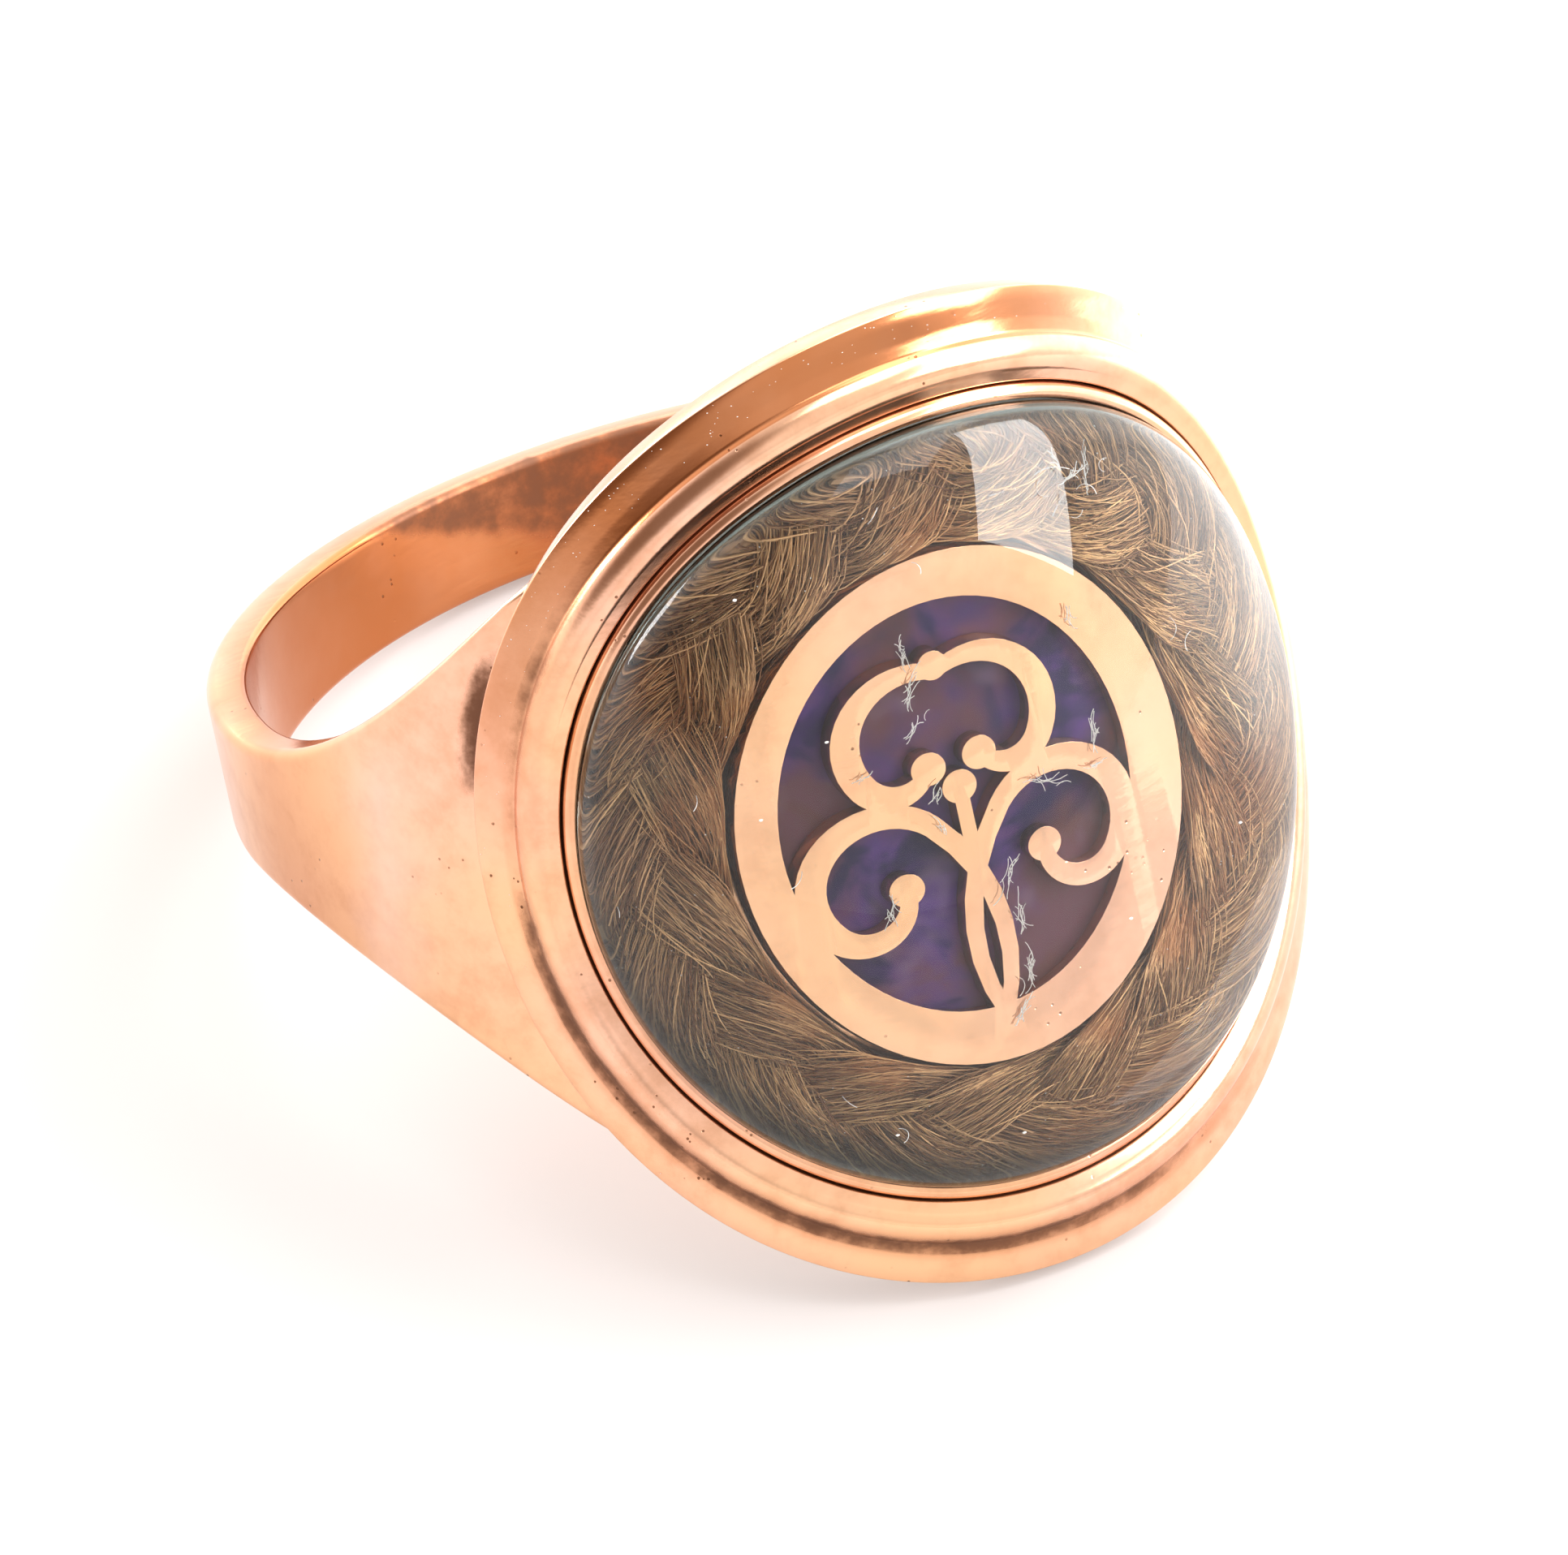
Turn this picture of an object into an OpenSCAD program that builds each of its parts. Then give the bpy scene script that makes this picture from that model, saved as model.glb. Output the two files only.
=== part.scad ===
// A gold mourning ring with a large oval locket head. Under a high crystal lies a hair plait
// round a gold badge on blue enamel. The ring lies on its side, as it does when put down:
// it stands on the lower end of its head and on the back of its band.
// All sizes are in millimetres. The head is a flat oval bent round an axis along the finger,
// so its sizes are given in the flat: a place round the bend, a place along the finger
// and a height that is square to the bent surface, counted from the edge of the flange.

/* [Band] */
// Radius of the finger hole
finger_r = 8.7; // [7.5:0.05:10.5]
// Thickness of the band
band_t = 0.75; // [0.6:0.05:1.1]
// Half the width of the band at the back of the hoop
back_half_w = 1.05; // [0.8:0.05:2]
// Half the width of the band where the shoulders begin to flare
flare_half_w = 1.37; // [1:0.01:2.5]
// Radius of the hollow curve of the shoulders
flare_r = 9.6; // [7:0.1:14]
// Half the width of the shoulders where they reach the head
shoulder_half_w = 5.6; // [4.5:0.1:6.2]
// How far below the flange's underside the shoulders reach that width
shoulder_drop = 0.48; // [0:0.02:1]

/* [Head] */
// Length of the head along the finger
head_l = 18.52; // [16:0.1:21]
// Width of the head across the finger, measured round its bend
head_w = 18.34; // [16:0.1:21]
// Radius to which the head is bent across the finger
bend_r = 11; // [10:0.1:14]
// Height of the flange's edge above the finger hole
head_rise = 1.04; // [0.9:0.02:1.6]
// Thickness of the flange at its edge
flange_t = 0.6; // [0.4:0.02:0.8]
// Width of the flange's flat top, its bevel included
flange_w = 0.79; // [0.5:0.01:1.2]
// Width of the bevel along the flange's edge
bevel_w = 0.18; // [0.1:0.01:0.3]
// Height of the bevel along the flange's edge
bevel_h = 0.05; // [0.02:0.01:0.15]
// How far the flange stands out past the wall under it
overhang = 0.65; // [0.3:0.01:0.75]
// Width of the half-round bead
bead_w = 0.88; // [0.6:0.01:1.2]
// Gold left between the finger hole and the tray of the locket
floor_t = 0.24; // [0.15:0.01:0.4]

/* [Collar and crystal] */
// Gap between the collar and the tray's wall
collar_gap = 0.04; // [0.02:0.01:0.08]
// Width of the collar's lip
collar_w = 0.27; // [0.2:0.01:0.4]
// Height of the collar's lip
collar_h = 0.45; // [0.3:0.01:0.7]
// Width of the step inside the collar that the crystal sits on
step_w = 0.12; // [0.06:0.01:0.25]
// Height of that step
step_h = 0; // [-0.1:0.01:0.15]
// Gap round and under the crystal
crystal_gap = 0.03; // [0.02:0.01:0.06]
// Height of the crystal's dome above the collar's lip
dome_h = 1.85; // [1:0.05:3]

/* [Badge] */
// Half the width of the badge across the finger
badge_half_w = 4.12; // [3.2:0.02:4.8]
// Half the length of the badge along the finger
badge_half_l = 4.7; // [3.6:0.02:5.2]
// Width of the badge's gold frame
frame_w = 0.92; // [0.5:0.02:1.2]
// How far the badge sits off the middle of the head, across the finger
badge_shift = -0.3; // [-0.5:0.02:0.5]
// How far the opening of the frame sits off the badge's middle, across the finger
opening_shift_w = -0.16; // [-0.3:0.02:0.3]
// How far the opening of the frame sits off the badge's middle, along the finger
opening_shift_l = 0.12; // [-0.3:0.02:0.3]
// Thickness of the gold badge
badge_t = 0.28; // [0.15:0.01:0.32]
// Thickness of the enamel plate
enamel_t = 0.4; // [0.25:0.01:0.42]
// Gap between the pieces that lie on each other in the tray
lay_gap = 0.03; // [0.02:0.01:0.05]
// Widest part of an ornament stroke
stroke_w = 0.5; // [0.3:0.02:0.7]
// Narrowest part of an ornament stroke
stroke_thin = 0.26; // [0.15:0.01:0.3]
// Radius of the balls that end the scrolls
ball_r = 0.3; // [0.2:0.01:0.35]

/* [Hair plait] */
// Half the width of one strand
lock_half_w = 0.4; // [0.3:0.01:0.44]
// Thickness of one strand
lock_t = 0.18; // [0.12:0.01:0.2]
// How far a strand's middle rises and dips as it passes the others
lock_lift = 0.22; // [0.2:0.01:0.25]
// Number of times each strand swings across and back round the badge
lock_swings = 5; // [4:1:7]
// Gap between the plait and the badge and collar
lock_gap = 0.1; // [0.05:0.01:0.2]

/* [Hidden] */

gold = "#e0a183";
glass = "#dfe4e2";
hair = ["#6b5844", "#7a6650", "#5b4c3d"];
violet = "#3f2f66";

// Corners of a true round, and steps round the oval
fine = 180;
steps = 72;
lock_steps = 100;
arc_step = 9;
reach = 40;

half_l = head_l / 2;
half_w = head_w / 2;
band_r = finger_r + band_t;
head_level = finger_r + head_rise;
bend_level = head_level - bend_r;

// Heights in the head, from the flange's edge up or down
floor_h = floor_t - head_rise;
enamel_h = floor_h + lay_gap;
badge_h = enamel_h + enamel_t + lay_gap;
bead_r = bead_w / 2;
bead_middle = flange_w + bead_r;
tray_off = flange_w + bead_w;
collar_off = tray_off + collar_gap;
lip_off = collar_off + collar_w;
step_off = lip_off + step_w;
crystal_off = lip_off + crystal_gap;
crystal_h = step_h + crystal_gap;

// The wall under the flange goes down past the finger hole's surface, which then cuts it
drum_angle = (half_w - overhang) / bend_r * 180 / PI;
cut_r = finger_r - 0.15;
drum_side = -bend_level * cos(drum_angle) + sqrt(pow(cut_r, 2) - pow(bend_level * sin(drum_angle), 2));
drum_h = min(drum_side, cut_r - bend_level) - bend_r;

// The shoulders' hollow curve ends at their full width, just below the flange
shoulder_angle = half_w / bend_r * sqrt(1 - pow(shoulder_half_w / half_l, 2)) * 180 / PI;
shoulder_level = bend_level + (bend_r - flange_t) * cos(shoulder_angle) - shoulder_drop;
flare_rise = flare_half_w + flare_r - shoulder_half_w;
flare_level = shoulder_level - sqrt(pow(flare_r, 2) - pow(flare_rise, 2));
taper = (flare_half_w - back_half_w) / (flare_level + band_r);

// The pose at rest: both feet of the ring touch the ground
lean = atan((half_l - back_half_w) / (head_level - flange_t + band_r));
lift = band_r * sin(lean) + back_half_w * cos(lean);
front = head_level * cos(lean) + half_l * sin(lean);
back = band_r * cos(lean) + back_half_w * sin(lean);

function bent(p) =
    let(a = p[0] / bend_r * 180 / PI, r = bend_r + p[2])
    [r * sin(a), -(bend_level + r * cos(a)), p[1]];

// A point of an oval of half sizes w and l, moved inwards by off
function oval_point(a, w, l, off) =
    let(n = norm([l * cos(a), w * sin(a)]))
    [(w - off * l / n) * cos(a), (l - off * w / n) * sin(a)];

// A point of the head's oval, moved inwards by off
function oval(a, off) = oval_point(a, half_w, half_l, off);

// Two triangles for each cell between a row of points and the next
function cells(a, b, n) = [
    for (j = [0:n - 1]) each [
        [a + j, a + (j + 1) % n, b + j],
        [a + (j + 1) % n, b + (j + 1) % n, b + j]
    ]
];

// A closed solid from rows round the oval, each [inward distance, height, share of its size],
// from the middle of the top out and round to the middle of the bottom
module oval_solid(rows) {
    last = len(rows) - 1;
    rings = [
        for (r = rows) each [
            for (i = [0:steps - 1])
                let(p = oval(360 * i / steps, r[0]) * r[2])
                bent([p[0], p[1], r[1]])
        ]
    ];
    top = len(rings);
    points = concat(rings, [bent([0, 0, rows[0][1]]), bent([0, 0, rows[last][1]])]);
    faces = concat(
        [for (j = [0:last - 1]) each cells(j * steps, (j + 1) * steps, steps)],
        [for (i = [0:steps - 1]) [top, (i + 1) % steps, i]],
        [for (i = [0:steps - 1]) [top + 1, last * steps + i, last * steps + (i + 1) % steps]]
    );
    polyhedron(points = points, faces = faces, convexity = 6);
}

// A closed ring from sections that follow each other round, all with as many points
module loop_solid(sections) {
    n = len(sections);
    m = len(sections[0]);
    faces = [
        for (i = [0:n - 1]) each cells(i * m, ((i + 1) % n) * m, m)
    ];
    polyhedron(points = [for (s = sections) each s], faces = faces, convexity = 8);
}

module at_rest() {
    translate([0, (front - back) / 2, lift])
        rotate([-lean, 0, 0])
            children();
}

// The band and shoulders: a disc trimmed to the outline seen from the side
module shank() {
    outline = [
        [-band_r - 1, back_half_w - taper],
        [flare_level, flare_half_w],
        [flare_level, shoulder_half_w],
        [head_level, shoulder_half_w]
    ];
    other_side = [for (i = [len(outline) - 1:-1:0]) [outline[i][0], -outline[i][1]]];
    intersection() {
        cylinder(r = band_r, h = reach, center = true, $fn = fine);
        rotate([90, 0, 90])
            linear_extrude(height = reach, center = true)
                polygon([for (p = concat(outline, other_side)) [-p[0], p[1]]]);
    }
}

// The two hollow curves of the shoulders
module flare_cuts() {
    for (side = [-1, 1])
        translate([0, -flare_level, side * (flare_half_w + flare_r)])
            rotate([0, 90, 0])
                cylinder(r = flare_r, h = reach, center = true, $fn = fine);
}

// Keeps the shoulders out of the tray: it ends inside the wall round the tray
module tray_core() {
    core_off = (overhang + tray_off) / 2;
    top = [for (share = [0.2:0.2:1.01]) [core_off, collar_h, share]];
    under = [for (share = [1:-0.2:0.19]) [core_off, drum_h, share]];
    oval_solid(concat(top, under));
}

// Flange, bead and tray
module head() {
    bead = [for (a = [-4:1:4]) [bead_middle + bead_r * sin(a * 20), bead_r * cos(a * 20)]];
    rows = concat(
        [for (share = [0.2:0.2:1.01]) [tray_off, floor_h, share]],
        [for (i = [8:-1:0]) [bead[i][0], bead[i][1], 1]],
        [[flange_w, bevel_h, 1], [bevel_w, bevel_h, 1], [0, 0, 1], [0, -flange_t, 1]],
        [[overhang, -flange_t, 1], [overhang, drum_h, 1], [overhang, drum_h, 0.6], [overhang, drum_h, 0.2]]
    );
    oval_solid(rows);
}

module ring_body() {
    color(gold)
        at_rest()
            difference() {
                union() {
                    head();
                    difference() {
                        shank();
                        flare_cuts();
                        tray_core();
                    }
                }
                cylinder(r = finger_r, h = reach, center = true, $fn = fine);
            }
}

module crystal_rim() {
    section = [
        [collar_off, floor_h + lay_gap],
        [collar_off, collar_h * 0.6],
        [collar_off + collar_w * 0.3, collar_h * 0.9],
        [collar_off + collar_w * 0.65, collar_h],
        [lip_off, collar_h * 0.94],
        [lip_off, step_h],
        [step_off, step_h],
        [step_off, floor_h + lay_gap]
    ];
    color(gold)
        at_rest()
            loop_solid([
                for (i = [0:steps - 1]) [
                    for (k = section)
                        let(p = oval(360 * i / steps, k[0]))
                        bent([p[0], p[1], k[1]])
                ]
            ]);
}

module crystal() {
    edge_h = collar_h * 0.94;
    dome = [for (a = [84, 75, 64, 52, 40, 28, 16, 6]) [crystal_off, edge_h + dome_h * sin(a), cos(a)]];
    under = [for (share = [1:-0.2:0.19]) [crystal_off, crystal_h, share]];
    color(glass, 0.4)
        at_rest()
            oval_solid(concat(dome, [[crystal_off, edge_h, 1]], under));
}

// The middle of strand number lock at the angle a round the badge
function lock_place(a, lock) =
    let(
        phase = lock_swings * a + 120 * lock,
        inset = lock_gap + lock_half_w,
        inner = oval_point(a, badge_half_w, badge_half_l, -inset) + [badge_shift, 0],
        outer = oval(a, step_off + inset),
        p = inner + (outer - inner) * (0.5 + 0.5 * sin(phase)),
        low = floor_h + lay_gap,
        h = (low + step_h) / 2 + lock_lift * sin(2 * phase)
    )
    [p[0], p[1], h];

module hair_lock(lock) {
    sides = 8;
    color(hair[lock])
        at_rest()
            loop_solid([
                for (i = [0:lock_steps - 1])
                    let(
                        a = 360 * i / lock_steps,
                        here = lock_place(a, lock),
                        way = lock_place(a + 1, lock) - lock_place(a - 1, lock),
                        across = [way[1], -way[0]] / norm([way[0], way[1]])
                    )
                    [
                        for (k = [0:sides - 1])
                            let(
                                w = lock_half_w * cos(360 * k / sides),
                                h = lock_t / 2 * sin(360 * k / sides)
                            )
                            bent([here[0] + across[0] * w, here[1] + across[1] * w, here[2] + h])
                    ]
            ]);
}

module hair_lock_1() {
    hair_lock(0);
}

module hair_lock_2() {
    hair_lock(1);
}

module hair_lock_3() {
    hair_lock(2);
}

// A flat outline, drawn as seen from the front, run through the head
module through() {
    rotate([90, 0, 0])
        linear_extrude(height = reach)
            children();
}

// What lies between two heights of the head, bent like it
module layer(low, high) {
    translate([0, -bend_level, 0])
        difference() {
            cylinder(r = bend_r + high, h = reach, center = true, $fn = fine);
            cylinder(r = bend_r + low, h = reach, center = true, $fn = fine);
        }
}

// A width in the flat at height h, as it is seen from the front
function seen(w, h) = (bend_r + h) * sin(w / bend_r * 180 / PI);

module plain_oval(w, l, h) {
    through()
        polygon([for (i = [0:steps - 1]) oval_point(360 * i / steps, seen(w, h), l, 0)]);
}

module enamel() {
    color(violet)
        at_rest()
            intersection() {
                translate([seen(badge_shift, enamel_h), 0, 0])
                    plain_oval(badge_half_w - lay_gap, badge_half_l - lay_gap, enamel_h);
                layer(enamel_h, enamel_h + enamel_t);
            }
}

// The end of an arc [radius, turn in degrees, plus to the left] from a place and heading
function arc_end(from, arc) =
    let(s = sign(arc[1]), c = [from[0] - s * arc[0] * sin(from[2]), from[1] + s * arc[0] * cos(from[2])])
    [
        c[0] + s * arc[0] * sin(from[2] + arc[1]),
        c[1] - s * arc[0] * cos(from[2] + arc[1]),
        from[2] + arc[1]
    ];

// The points of a line that starts at a place and heading and turns through arcs
function trail(from, arcs, i = 0) =
    i == len(arcs) ? [from] :
    let(n = ceil(abs(arcs[i][1]) / arc_step))
    concat(
        [for (k = [0:n - 1]) k == 0 ? from : arc_end(from, [arcs[i][0], arcs[i][1] * k / n])],
        trail(arc_end(from, arcs[i]), arcs, i + 1)
    );

// A stroke that swells in the middle, along such a line, with its places and radii as shares of a size
module stroke(size, from, arcs) {
    line = trail([from[0] * size, from[1] * size, from[2]], [for (arc = arcs) [arc[0] * size, arc[1]]]);
    n = len(line) - 1;
    half = [for (i = [0:n]) (stroke_thin + (stroke_w - stroke_thin) * sin(180 * i / n)) / 2];
    left = [for (i = [0:n]) [line[i][0] - half[i] * sin(line[i][2]), line[i][1] + half[i] * cos(line[i][2])]];
    right = [for (i = [n:-1:0]) [line[i][0] + half[i] * sin(line[i][2]), line[i][1] - half[i] * cos(line[i][2])]];
    through()
        polygon(concat(left, right));
    ball([line[n][0], line[n][1]], ball_r);
}

module ball(place, r) {
    translate([place[0], 0, place[1]])
        through()
            circle(r = r, $fn = 24);
}

// A lily of scrolls: two cross on the stem and curl out and down, two more close over a bud.
// Each stroke has its start [share across, share up, heading] and its arcs [radius share, turn]
module ornament(size) {
    low_scroll = [[0, -1.045, 112], [[0.98, -62], [0.325, -178], [0.19, -150]]];
    high_scroll = [[0.005, 0.665, 152], [[0.318, 150], [0.17, 120]]];
    bud_level = 0.1;
    stem_low = -0.35;
    for (side = [0, 1])
        mirror([side, 0, 0]) {
            stroke(size, low_scroll[0], low_scroll[1]);
            stroke(size, high_scroll[0], high_scroll[1]);
        }
    ball([0, high_scroll[0][1] * size + stroke_thin / 2], stroke_thin);
    ball([0, bud_level * size], ball_r);
    through()
        translate([-stroke_thin / 2, stem_low * size])
            square([stroke_thin, (bud_level - stem_low) * size]);
}

module badge() {
    open_w = badge_half_w - frame_w;
    open_l = badge_half_l - frame_w;
    color(gold)
        at_rest()
            intersection() {
                translate([seen(badge_shift, badge_h), 0, 0]) {
                    difference() {
                        plain_oval(badge_half_w, badge_half_l, badge_h);
                        translate([opening_shift_w, 0, opening_shift_l])
                            plain_oval(open_w, open_l, badge_h);
                    }
                    translate([opening_shift_w, 0, opening_shift_l])
                        ornament(open_l);
                }
                layer(badge_h, badge_h + badge_t);
            }
}

ring_body();
crystal_rim();
crystal();
hair_lock_1();
hair_lock_2();
hair_lock_3();
enamel();
badge();
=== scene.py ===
import math
import random

import bmesh
import bpy
from mathutils import Matrix, Vector
from mathutils.bvhtree import BVHTree


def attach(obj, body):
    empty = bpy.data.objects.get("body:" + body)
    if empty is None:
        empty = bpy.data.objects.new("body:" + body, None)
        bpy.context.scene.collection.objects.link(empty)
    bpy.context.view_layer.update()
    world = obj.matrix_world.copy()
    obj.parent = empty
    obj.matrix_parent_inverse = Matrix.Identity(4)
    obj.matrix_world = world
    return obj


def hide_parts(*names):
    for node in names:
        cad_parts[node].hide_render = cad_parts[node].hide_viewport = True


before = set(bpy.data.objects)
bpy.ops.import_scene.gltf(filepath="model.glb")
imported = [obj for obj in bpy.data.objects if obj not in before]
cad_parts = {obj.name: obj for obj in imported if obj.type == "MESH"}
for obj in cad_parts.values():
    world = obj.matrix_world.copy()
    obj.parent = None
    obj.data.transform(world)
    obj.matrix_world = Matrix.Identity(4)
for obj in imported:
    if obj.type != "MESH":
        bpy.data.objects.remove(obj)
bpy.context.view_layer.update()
print("frame loaded")

mm = 0.001
sameSpot = 1e-4     # in a shape in millimetres, corners nearer than this are one
random.seed(7)

# Sizes of the ring in millimetres, as in the solids
band = {
    "fingerRadius": 8.7,
    "thickness": 0.75,
    "backHalfWidth": 1.05,
    "flareHalfWidth": 1.37,
    "flareRadius": 9.6,
    "shoulderHalfWidth": 5.6,
    "shoulderDrop": 0.48,
    "outerCorner": 0.2,
    "innerCorner": 0.13,
    "turnSteps": 200,
    "crossCuts": 15,
}
head = {
    "halfLength": 9.26,
    "halfWidth": 9.17,
    "bendRadius": 11,
    "rise": 1.04,
    "flangeThick": 0.6,
    "flangeWidth": 0.79,
    "bevelWidth": 0.18,
    "bevelHeight": 0.035,
    "flangeSlope": 8.5,
    "flangeCuts": (0.6, 0.52, 0.44, 0.36, 0.27),
    "rimDrop": 0.012,
    "beadArc": 62,
    "innerArc": 34,
    "coveDeepening": 1.25,
    "grooveDrop": 0.05,
    "overhang": 0.65,
    "beadWidth": 0.88,
    "floorThick": 0.24,
    "underClear": 0.01,
    "grooveRound": 0.03,
    "rimRound": 0.04,
    "underRound": 0.07,
    "wallRound": 0.06,
    "roundSteps": 320,
    "beadSteps": 28,
    "coveSteps": 7,
    "floorSteps": 12,
}
bandRadius = band["fingerRadius"] + band["thickness"]
headLevel = band["fingerRadius"] + head["rise"]
bendLevel = headLevel - head["bendRadius"]
floorLevel = head["floorThick"] - head["rise"]
beadRadius = head["beadWidth"] / 2
beadMiddle = head["flangeWidth"] + beadRadius
trayInset = head["flangeWidth"] + head["beadWidth"]
headOval = (head["halfWidth"], head["halfLength"])
boreMark = -9     # a height of a profile that stands for the surface of the finger hole

# The pose at rest, on the lower end of the head and the back of the band
headReach = headLevel - head["flangeThick"] + bandRadius
lean = math.atan((head["halfLength"] - band["backHalfWidth"]) / headReach)
lift = bandRadius * math.sin(lean) + band["backHalfWidth"] * math.cos(lean)
front = headLevel * math.cos(lean) + head["halfLength"] * math.sin(lean)
back = bandRadius * math.cos(lean) + band["backHalfWidth"] * math.sin(lean)
# Ring axes: across the finger, along the finger, outwards through the head
atRest = Matrix((
    (mm, 0, 0, 0),
    (0, math.sin(lean) * mm, -math.cos(lean) * mm, (front - back) / 2 * mm),
    (0, math.cos(lean) * mm, math.sin(lean) * mm, lift * mm),
    (0, 0, 0, 1),
))
fromRest = atRest.inverted()


def bent(across, along, height):
    # A flat place of the head, bent round the finger, in ring axes
    turn = across / head["bendRadius"]
    reach = head["bendRadius"] + height
    return Vector((reach * math.sin(turn), along, bendLevel + reach * math.cos(turn)))


def flattened(point):
    # The flat place of a point in ring axes
    turn = math.atan2(point.x, point.z - bendLevel)
    reach = math.hypot(point.x, point.z - bendLevel)
    return Vector((turn * head["bendRadius"], point.y, reach - head["bendRadius"]))


def reachAt(turn, radius):
    # Distance from the axis of the head's bend to a cylinder round the finger
    return -bendLevel * math.cos(turn) + math.sqrt(radius ** 2 - (bendLevel * math.sin(turn)) ** 2)


def boreHeight(across):
    # Height in the head of the finger hole's surface
    radius = band["fingerRadius"] - head["underClear"]
    return reachAt(across / head["bendRadius"], radius) - head["bendRadius"]


def ovalPoint(angle, halfWidth, halfLength, inset):
    n = math.hypot(halfLength * math.cos(angle), halfWidth * math.sin(angle))
    return (
        (halfWidth - inset * halfLength / n) * math.cos(angle),
        (halfLength - inset * halfWidth / n) * math.sin(angle),
    )


def near(value, middle, width):
    # 1 in the middle, 0 at a width from it
    return max(0, 1 - abs(value - middle) / width)


def ramp(value, low, high):
    # 0 below low, 1 above high, smooth between
    share = min(max((value - low) / (high - low), 0), 1)
    return share * share * (3 - 2 * share)


def finishPiece(name, shape, replaced=(), sharp=42):
    # Turns a bmesh that is in metres and at rest into a piece of the ring
    mesh = bpy.data.meshes.new(name)
    shape.to_mesh(mesh)
    shape.free()
    mesh.shade_smooth()
    mesh.set_sharp_from_angle(angle=math.radians(sharp))
    piece = bpy.data.objects.new(name, mesh)
    bpy.context.scene.collection.objects.link(piece)
    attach(piece, "root")
    if replaced:
        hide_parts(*replaced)
    return piece


def roundEdges(shape, edges, size, segments):
    bmesh.ops.bevel(shape, geom=edges, offset=size, offset_type="OFFSET", segments=segments, profile=0.5,
                    affect="EDGES", clamp_overlap=True, material=-1)


def roundLoops(shape, corners):
    # Rounds the loops of a spun shape that stand at the given radius and height
    for radius, height, size in corners:
        def onLoop(v):
            return abs(math.hypot(v.co.x, v.co.y) - radius) < 1e-3 and abs(v.co.z - height) < 1e-3

        roundEdges(shape, [e for e in shape.edges if all(onLoop(v) for v in e.verts)], size, 4)


def spunOval(profile, rim, oval, stainAndShade, corners=(), shift=0, closed=False):
    # Spins a profile and lays it on the bent oval
    # Its points are (inset, height), or (share of the way out, height, True) inside the rim
    halfWidth, halfLength = oval
    inner = halfWidth - rim
    shape = bmesh.new()
    points = []
    for point in profile:
        radius = inner * point[0] if len(point) == 3 else halfWidth - point[0]
        points.append(shape.verts.new((radius, 0, point[1])))
    edges = [shape.edges.new(pair) for pair in zip(points, points[1:])]
    if closed:
        edges.append(shape.edges.new((points[-1], points[0])))
    bmesh.ops.spin(shape, geom=points + edges, cent=(0, 0, 0), axis=(0, 0, 1), angle=2 * math.pi,
                   steps=head["roundSteps"], use_merge=True)
    bmesh.ops.remove_doubles(shape, verts=shape.verts, dist=sameSpot)
    roundLoops(shape, [(halfWidth - inset, height, size) for inset, height, size in corners])
    bmesh.ops.recalc_face_normals(shape, faces=shape.faces)
    # Layers for real stains and for painted shade and painted reflection, as the stain function gives them
    layers = [shape.verts.layers.float.new(name) for name in ("grimeAndShade", "tarnishAndShade")]
    for v in shape.verts:
        angle = math.atan2(v.co.y, v.co.x)
        radius = math.hypot(v.co.x, v.co.y)
        inset = min(halfWidth - radius, rim)
        share = min(radius / inner, 1)
        across, along = ovalPoint(angle, halfWidth, halfLength, inset)
        across, along = across * share + shift, along * share
        height = v.co.z
        if height < boreMark / 2:
            height = boreHeight(across) + height - boreMark
        for layer, amount in zip(layers, stainAndShade(halfWidth - radius, v.co.z, math.degrees(angle))):
            v[layer] = amount
        v.co = atRest @ bent(across, along, height)
    return shape


# Head: tray, half-round bead, flange and the wall below it
headShadePaint = {
    "groove": 0.02,             # half width of the painted shadow line round the tray
    "grooveTop": 0.38,          # as a share of the bead's width
    "under": 0.4,               # half width of the painted shade under the flange, and how far down it starts
    "cove": (0.4, 0.6),         # insets over which the painted shade in the cove comes up
    "coveTop": 0.26,
    "coveStart": 0.5,
    "flankIn": (0.55, 0.62),    # insets over which the painted brown reflection on the bead's outer flank starts and ends
    "flankOut": (0.86, 1.14),
    # Middle and half width of each patch of painted shade, in degrees round the head
    "copper": (104, 72),
    "lowCove": (-112, 75),
    "flankLow": (-125, 80),
    "flankLeft": (150, 50),
    # Amounts of painted shade
    "coveShade": 0.2,
    "lowCoveShade": 0.15,
    "flankShade": 0.78,
    "copperShade": 0.95,
    "lowCoveCopper": 0.4,
    "flankCopper": 0.6,
}


def flangeHeight(inset):
    return head["bevelHeight"] + (inset - head["bevelWidth"]) * math.tan(math.radians(head["flangeSlope"]))


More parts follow.
